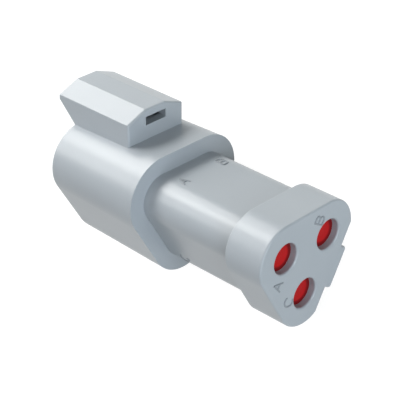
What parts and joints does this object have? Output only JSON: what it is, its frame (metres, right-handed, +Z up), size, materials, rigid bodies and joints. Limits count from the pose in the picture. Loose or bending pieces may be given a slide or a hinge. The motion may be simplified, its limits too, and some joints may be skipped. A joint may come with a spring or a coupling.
{
  "type": "sealed in-line connector receptacle",
  "caption": "Grey moulded in-line cable receptacle, rounded-triangle shroud with a roofed latch hood, slimmer body and rear cap with red-sealed wire holes.",
  "frame": {"origin": "on the mating axis, in the plane of the shroud's mouth", "axes": "+X along the mating axis, out of the shroud towards the mating half; +Z up with the receptacle lying on its flat B-C side, contact A uppermost; the latch hood points to -Y and 30 degrees up"},
  "size_m": [0.0464, 0.0253, 0.0214],
  "materials": {
    "grey_moulding": "moulded thermoplastic, satin",
    "red_silicone": "moulded silicone",
    "orange_moulding": "moulded thermoplastic, satin",
    "contact_plating": "turned copper alloy, nickel plated"
  },
  "bodies": {
    "receptacle": {"housing": "grey_moulding", "rear_cap": "grey_moulding", "wire_seal": "red_silicone", "pin_contact_a": "contact_plating", "pin_contact_b": "contact_plating", "pin_contact_c": "contact_plating"},
    "wedge": {"wedge_lock": "orange_moulding"}
  },
  "joints": [
    {"name": "wedge_slide", "type": "slide", "parent": "receptacle", "child": "wedge", "axis": [1, 0, 0], "range_m": [0, 0.0096]}
  ]
}
